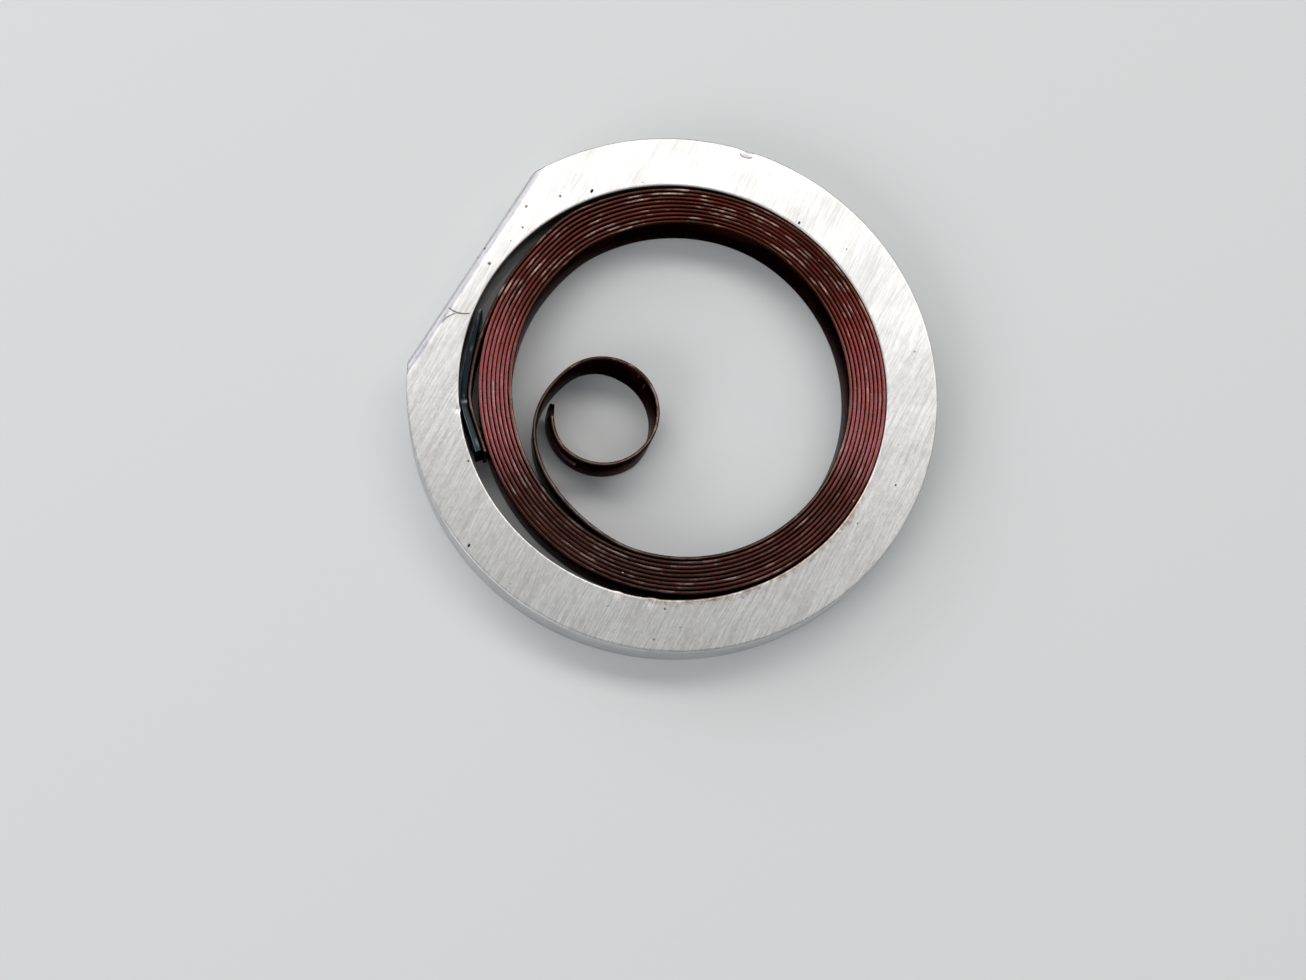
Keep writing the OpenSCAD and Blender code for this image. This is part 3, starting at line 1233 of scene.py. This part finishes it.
@dataclass
class StripStock:
    """Strip of steel before it is wound: a rolled bar with rounded edges, in millimetres."""

    thick: float
    high: float
    edge_r: float
    segments: int = 3
    dull_nose: float = 0.58

    def roll(self, name: str, length: float, cuts: tuple[int, ...]) -> Workpiece:
        """Makes a straight piece that starts at X = 0, centred on Y, standing on Z = 0.

        Args:
            name: the piece's name.
            length: its length.
            cuts: how often each part is cut across, one round after the other.

        Returns:
            The straight strip.
        """
        piece = Workpiece(name, lambda: bpy.ops.mesh.primitive_cube_add(
            size=1, location=(length / 2, 0, self.high / 2)))
        piece.edit()
        bpy.ops.mesh.select_all(action="SELECT")
        bpy.ops.transform.resize(value=(length, self.thick, self.high))
        piece.select(Kind.EDGE, self.runs_lengthwise)
        bpy.ops.mesh.bevel(offset=self.edge_r, segments=self.segments, profile=0.5, affect="EDGES")
        for number in cuts:
            piece.select(Kind.EDGE, self.runs_lengthwise)
            bpy.ops.mesh.subdivide(number_cuts=number)
        piece.close()
        piece.place()
        return piece

    def runs_lengthwise(self, edge: bmesh.types.BMEdge) -> bool:
        """Whether an edge of the straight strip lies along X."""
        x, y, z = (abs(part) for part in edge.verts[0].co - edge.verts[1].co)
        return x > self.high / 25 and y + z < 1e-5

    def masks(self, piece: Workpiece, nose: bool = False) -> np.ndarray:
        """Stores each vertex's flat place, how near it is to an edge, and where the crest shows.

        Args:
            piece: the straight strip.
            nose: whether its start is sheared to a half circle.

        Returns:
            The flat places.
        """
        flat = piece.coords()
        piece.mark("flat_co", flat)
        half = self.high / 2
        rim = np.abs(flat[:, 2] - half) - (half - self.edge_r)
        if nose:
            round_rim = np.hypot(flat[:, 0] - half, flat[:, 2] - half) - (half - self.edge_r / 2)
            rim = np.where(flat[:, 0] < half, np.maximum(rim, round_rim), rim)
        edge = np.clip(rim / (0.4 * self.edge_r), 0, 1)
        piece.mark("edge", edge)
        past_nose = np.clip((flat[:, 0] - self.dull_nose) / 0.1, 0, 1)
        piece.mark("top", past_nose if nose else np.ones(len(flat)))
        return flat


@dataclass
class Mainspring:
    """The spring: one long strip wound into an eye, a run, the coils and a kinked end."""

    path: StripPath = field(default_factory=StripPath)
    stock: StripStock = field(default_factory=lambda: StripStock(STRIP_THICK, 1.6, 0.036, 4))
    base_z: float = 0.05
    slot_at: float = 223.0
    slot_l: float = 1.42
    slot_w: float = 0.42
    run_l: float = 6.0
    loose_l: float = 40.0
    tail_l: float = 22.0
    eye_lean: float = 0.18
    eye_lean_turn: float = 37.0
    tip_lean: float = 0.20
    tip_l: float = 1.8
    uneven_height: float = 0.018
    uneven_gap: float = 0.004
    finish: TemperedSteel = field(default_factory=lambda: TemperedSteel(
        "tempered_spring_steel",
        thick=STRIP_THICK,
        edge=(0.064, 0.016, 0.012),
        edge_deep=(0.040, 0.010, 0.007),
        edge_patch_and_sheen=(0.13, 0.030, 0.030),
        edge_light=(0.50, 0.37, 0.33),
        crest=(0.110, 0.056, 0.046),
        crest_patch_and_sheen=(0.34, 0.118, 0.124),
        face=(0.026, 0.017, 0.015),
        face_tint=(0.050, 0.028, 0.024),
        roughness=0.27,
        # Light marks on the eye's outer face: two scratches, and two arcs of painted glint at the slot's end.
        marks=(
            ArcMark((4.39, 1.12), 3.0, -5.0, 5.0, 0.016, 0.7),
            ArcMark((4.74, 1.38), 3.0, -2.6, 2.6, 0.014, 0.5),
            ArcMark((2.62, 0.42), 0.14, 30.0, 130.0, 0.022, 0.8),
            ArcMark((2.20, 0.36), 0.9, 20.0, 70.0, 0.012, 0.4),
        ),
    ))

    @property
    def slot_middle(self) -> float:
        """Distance of the slot's middle from the strip's inner tip."""
        return math.radians(self.slot_at - self.path.eye_tip) * self.path.eye_r

    def round_nose(self, strip: Workpiece) -> None:
        """Shears the strip's inner end to a half circle."""
        r = self.stock.high / 2
        block = Workpiece("nose_block", lambda: bpy.ops.mesh.primitive_cube_add(size=1, location=(0, 0, r)))
        block.obj.scale = (2 * r, 1.0, 3 * r)
        block.place()
        disc = Workpiece("nose_disc", lambda: bpy.ops.mesh.primitive_cylinder_add(
            vertices=96, radius=r - 0.002, depth=3, location=(r, 0, r), rotation=(math.pi / 2, 0, 0)))
        disc.place()
        block.cut_away(disc)
        strip.cut_away(block)

    def punch_slot(self, strip: Workpiece) -> None:
        """Punches the slot for the arbor's hook through the strip."""
        bar = Workpiece("slot_punch", lambda: bpy.ops.mesh.primitive_cube_add(
            size=1, location=(self.slot_middle, 0, self.stock.high / 2)))
        bar.obj.scale = (self.slot_l, 1.0, self.slot_w)
        bar.place()
        bar.edit()
        bar.select(Kind.EDGE, lambda e: abs(e.verts[0].co.y - e.verts[1].co.y) > 0.5)
        bpy.ops.mesh.bevel(
            offset=self.slot_w / 2 - 0.004, segments=10, profile=0.5, affect="EDGES"
        )
        bar.close()
        strip.cut_away(bar)

    def slot_rim(self, flat: np.ndarray) -> np.ndarray:
        """How near each flat place is to the rim of the slot, 1 on the rim itself."""
        half = (self.slot_l - self.slot_w) / 2
        along = np.maximum(np.abs(flat[:, 0] - self.slot_middle) - half, 0)
        off = np.abs(np.hypot(along, flat[:, 2] - self.stock.high / 2) - self.slot_w / 2)
        return np.clip(1 - off / 0.03, 0, 1)

    def wind(self, strip: Workpiece) -> None:
        """Winds the flat strip along its path, with each turn at its own height."""
        flat = self.stock.masks(strip, nose=True)
        # The slot's rim takes some of the edge colour, whose lighter crest is a painted highlight along it.
        strip.lift_mark("edge", self.slot_rim(flat) * 0.35)
        whole = self.path.whole()
        x, aside, z = flat.T
        eye_end = math.radians(360 + self.path.eye_leave - self.path.eye_tip) * self.path.eye_r
        run_end = eye_end + self.run_l
        packed = np.clip((x - run_end) / 6, 0, 1)
        tail = np.clip((x - whole.length + self.tail_l) / 8, 0, 1)
        strip.mark("packed", packed * (1 - tail))
        strip.mark("bare", np.maximum(np.clip((run_end + self.loose_l - x) / 6, 0, 1), tail))
        height = self.uneven_height * waves(x, 11, (47.0, 21.0, 9.0)) * packed
        shift = self.uneven_gap * waves(x, 12, (31.0, 13.0, 5.0)) * packed
        shift += self.settle(whole, x) * packed
        angle = np.radians(self.path.eye_tip) + x / self.path.eye_r
        facing = np.clip(np.cos(angle - math.radians(self.eye_lean_turn)), 0, 1)
        lean = self.eye_lean * facing * np.clip((eye_end - x) / 2.0, 0, 1)
        low = 1 - z / self.stock.high
        tip = self.tip_lean * np.clip(1 - x / self.tip_l, 0, 1)
        where = whole.wrap(x, aside + shift - lean * low - tip * (1 - low))
        strip.move_to(np.column_stack([where, z + self.base_z + height]))

    def settle(self, whole: Stretch, x: np.ndarray) -> np.ndarray:
        """How far outward each part of the coil has settled against the bore.

        Args:
            whole: the strip's path.
            x: distances along it.

        Returns:
            The distance outward at each.
        """
        px, py = (np.interp(x, whole.along, whole.points[:, i]) for i in (0, 1))
        angle = np.degrees(np.arctan2(py, px))
        inward = np.clip((7.1 - np.hypot(px, py)) / 1.1, 0, 1)

        def swell(push: float, turn: float, spread: float) -> np.ndarray:
            """A smooth outward push, greatest at one angle."""
            return push * np.exp(-(((angle - turn) / spread) ** 2))

        against_bore = swell(0.09, 104, 18) + swell(0.13, 120, 10)
        return 0.018 + against_bore * (1 - 0.7 * inward) + swell(0.065, 64, 26) * inward

    def build(self, effects: Effects) -> None:
        """Makes the spring and dresses it."""
        strip = self.stock.roll("mainspring_strip", self.path.whole().length, (49, 47))
        self.round_nose(strip)
        self.punch_slot(strip)
        self.wind(strip)
        strip.finish(Body.SPRING, Slot.SPRING, self.finish.build(effects), "mainspring")


@dataclass
class Bridle:
    """The thick strip outside the spring's end, kinked with it, whose free tip springs away."""

    path: StripPath = field(default_factory=StripPath)
    length: float = 4.9
    thick: float = 0.23
    tip_thick: float = 0.13
    high: float = 1.5
    edge_r: float = 0.04
    gap: float = 0.03
    end_back: float = 0.1
    tip_lift: float = 0.2
    lift_share: float = 0.45
    base_z: float = 0.1
    finish: TemperedSteel = field(default_factory=lambda: TemperedSteel(
        "blued_bridle_steel",
        thick=0.23,
        edge=(0.012, 0.020, 0.027),
        edge_deep=(0.006, 0.011, 0.015),
        edge_light=(0.40, 0.46, 0.50),
        crest=(0.016, 0.027, 0.035),
        crest_patch_and_sheen=(0.024, 0.040, 0.051),
        edge_patch_and_sheen=(0.012, 0.019, 0.026),
        face=(0.014, 0.020, 0.028),
        face_tint=(0.020, 0.030, 0.045),
        glint=0.5,
    ))

    def build(self, effects: Effects) -> None:
        """Makes the bridle and dresses it."""
        stock = StripStock(self.thick, self.high, self.edge_r)
        piece = stock.roll("bridle_strip", self.length, (149,))
        flat = stock.masks(piece)
        x, aside, z = flat.T
        kink_at = self.length + self.end_back - self.path.tongue_l - self.path.kink[0] / 2
        # Painted highlight along the outer top edge beyond the kink, and a painted glint along the kink's
        # crease, both stored as bright.
        outer = np.clip(1.3 - np.abs(aside - self.thick / 2) / 0.035, 0, 1)
        line = outer * np.clip((z - self.high) / 0.05 + 1, 0, 1) * np.clip((x - kink_at) / 0.25, 0, 1)
        painted_crease_glint = 0.75 * np.clip(1 - np.abs(x - kink_at) / 0.045, 0, 1) * (z > self.high - 0.06)
        piece.mark("bright", np.maximum(line, painted_crease_glint))
        share = x / self.length
        lift = self.tip_lift * np.clip(1 - share / self.lift_share, 0, 1) ** 2
        thick = self.tip_thick + (self.thick - self.tip_thick) * np.clip(share / self.lift_share, 0, 1)
        outward = self.path.strip_t / 2 + self.gap + lift + thick / 2 + aside * thick / self.thick
        tongue = self.path.tongue()
        where = tongue.wrap(x + tongue.length - self.end_back - self.length, outward)
        piece.move_to(np.column_stack([where, z + self.base_z]))
        piece.finish(Body.SPRING, Slot.BRIDLE, self.finish.build(effects), "bridle")


@dataclass
class BridleRivets:
    """Two rivets that hold the bridle to the spring: filed flush inside, domed outside."""

    path: StripPath = field(default_factory=StripPath)
    back: tuple[float, ...] = (0.42, 1.12)
    radius: float = 0.18
    head_r: float = 0.3
    head_h: float = 0.06
    outer: float = 0.325
    mid_z: float = 0.85
    dome: tuple[float, ...] = (0.25, 0.5, 0.72, 0.88, 1.0)
    rounding: float = 0.97
    finish: TemperedSteel = field(default_factory=lambda: TemperedSteel(
        "rivet_steel",
        thick=0.65,
        edge=(0.30, 0.30, 0.31),
        edge_deep=(0.20, 0.20, 0.21),
        edge_light=(0.6, 0.6, 0.6),
        crest=(0.34, 0.34, 0.35),
        crest_patch_and_sheen=(0.34, 0.34, 0.35),
        edge_patch_and_sheen=(0.30, 0.30, 0.31),
        face=(0.26, 0.26, 0.27),
        face_tint=(0.34, 0.33, 0.33),
        face_roughness=0.35,
    ))

    def turn_one(self) -> Workpiece:
        """Turns one rivet at the origin, with its head away along +Z."""
        inner = -self.path.strip_t / 2
        shank = self.outer - inner
        piece = Workpiece("bridle_rivet_head_1", lambda: bpy.ops.mesh.primitive_cylinder_add(
            vertices=48, radius=self.radius, depth=shank, location=(0, 0, inner + shank / 2)))
        piece.place()
        piece.edit()
        piece.select(Kind.FACE, lambda f: f.normal.z > 0.9)
        size = self.radius
        for rise in (0.0, *self.dome):
            wanted = self.head_r * math.sqrt(1 - rise**2 * self.rounding)
            bpy.ops.mesh.extrude_region_move(TRANSFORM_OT_translate={"value": (0, 0, 0)})
            bpy.ops.transform.resize(value=(wanted / size, wanted / size, 1))
            mesh = bmesh.from_edit_mesh(piece.obj.data)
            for v in mesh.verts:
                if v.select:
                    v.co.z = self.outer + self.head_h * rise
            bmesh.update_edit_mesh(piece.obj.data)
            size = wanted
        piece.close()
        return piece

    def build(self, effects: Effects) -> None:
        """Makes the rivets and dresses them."""
        tongue = self.path.tongue()
        tip = tongue.points[-1]
        way = unit_rows(tongue.points[-1] - tongue.points[-2])
        out = Vector((way[1], -way[0], 0))
        material = self.finish.build(effects)
        pieces = [self.turn_one()]
        StripStock(self.outer, self.outer, 0.01).masks(pieces[0])
        pieces += [pieces[0].copy(f"bridle_rivet_head_{n}") for n in range(2, len(self.back) + 1)]
        for number, (piece, back) in enumerate(zip(pieces, self.back), start=1):
            self.set_in(piece, tip - way * back, out)
            piece.finish(Body.SPRING, Slot.RIVET, material, f"bridle_rivet_{number}")

    def set_in(self, piece: Workpiece, place: np.ndarray, out: Vector) -> None:
        """Stands a rivet in its hole.

        Args:
            piece: the rivet at the origin.
            place: the hole's place on the strip, seen from above.
            out: the direction that its head faces.
        """
        turn = out.to_track_quat("Z", "Y").to_matrix().to_4x4()
        piece.obj.data.transform(Matrix.Translation((place[0], place[1], self.mid_z)) @ turn)


# ---------------------------------------------------------------- studio


@dataclass(frozen=True)
class SoftLight:
    """One rectangular soft light that faces the object, in millimetres and watts."""

    name: str
    place: Point3
    size: Point2
    power: float
    tint: Colour

    def hang(self) -> None:
        """Hangs the light."""
        data = bpy.data.lights.new(self.name, "AREA")
        data.shape = "RECTANGLE"
        data.size, data.size_y = (side * METRES for side in self.size)
        data.energy = self.power
        data.color = self.tint
        lamp = bpy.data.objects.new(self.name, data)
        lamp.location = Vector(self.place) * METRES
        lamp.rotation_mode = "QUATERNION"
        lamp.rotation_quaternion = (-Vector(self.place)).to_track_quat("-Z", "Y")
        bpy.context.scene.collection.objects.link(lamp)


@dataclass
class Studio:
    """Floor, light and camera, in millimetres."""

    camera_at: Point3 = (-6.744, -19.358, 70.41)
    right: Point3 = (0.9965, -0.0189, 0.0819)
    up: Point3 = (0.0, 0.9745, 0.2244)
    lens: float = 58.5
    sensor: float = 36.0
    near_and_far: Point2 = (1.0, 10000.0)
    floor_side: float = 900.0
    floor_gap: float = 0.004
    surroundings: Colour = (0.93, 0.96, 1.0)
    surroundings_strength: float = 0.34
    lights: tuple[SoftLight, ...] = (
        SoftLight("window", (20, 124, 225), (420, 84), 0.29, (1.0, 0.99, 0.97)),
        SoftLight("fill", (-260, -190, 210), (260, 200), 0.35, (0.95, 0.98, 1.0)),
        SoftLight("side", (-175, 165, 120), (190, 110), 0.14, (0.90, 0.95, 1.0)),
    )

    def floor(self, effects: Effects) -> None:
        """Lays the pale floor under the ring."""
        piece = Workpiece("floor", lambda: bpy.ops.mesh.primitive_plane_add(
            size=self.floor_side, location=(0, 0, -self.floor_gap)))
        piece.place()
        piece.obj.data.transform(Matrix.Scale(METRES, 4))
        piece.obj.data.materials.append(FloorPaper().build(effects))

    def sky(self) -> None:
        """Even soft light from all round."""
        world = bpy.data.worlds.new("soft_surroundings")
        world.use_nodes = True
        shade = world.node_tree.nodes["Background"]
        shade.inputs["Color"].default_value = (*self.surroundings, 1.0)
        shade.inputs["Strength"].default_value = self.surroundings_strength
        bpy.context.scene.world = world

    def camera(self) -> None:
        """Sets the camera up."""
        data = bpy.data.cameras.new("camera")
        data.lens = self.lens
        data.sensor_width = self.sensor
        data.sensor_fit = "HORIZONTAL"
        data.clip_start, data.clip_end = (reach * METRES for reach in self.near_and_far)
        camera = bpy.data.objects.new("camera", data)
        right = Vector(self.right).normalized()
        back = right.cross(Vector(self.up)).normalized()
        turn = Matrix((right, back.cross(right), back)).transposed().to_4x4()
        camera.matrix_world = Matrix.Translation(Vector(self.camera_at) * METRES) @ turn
        bpy.context.scene.collection.objects.link(camera)
        bpy.context.scene.camera = camera

    def build(self, effects: Effects) -> None:
        """Sets up everything that isn't the object."""
        self.floor(effects)
        self.sky()
        for light in self.lights:
            light.hang()
        self.camera()
        bpy.context.scene.view_settings.view_transform = "Standard"


# ---------------------------------------------------------------- main


def main() -> None:
    """Builds the object and its studio."""
    logging.basicConfig(level=logging.INFO, format="%(name)s: %(message)s")
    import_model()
    effects = Effects()
    RetainingRing().build(effects)
    Mainspring().build(effects)
    Bridle().build(effects)
    BridleRivets().build(effects)
    Studio().build(effects)
    bpy.context.view_layer.update()


if __name__ == "__main__":
    main()
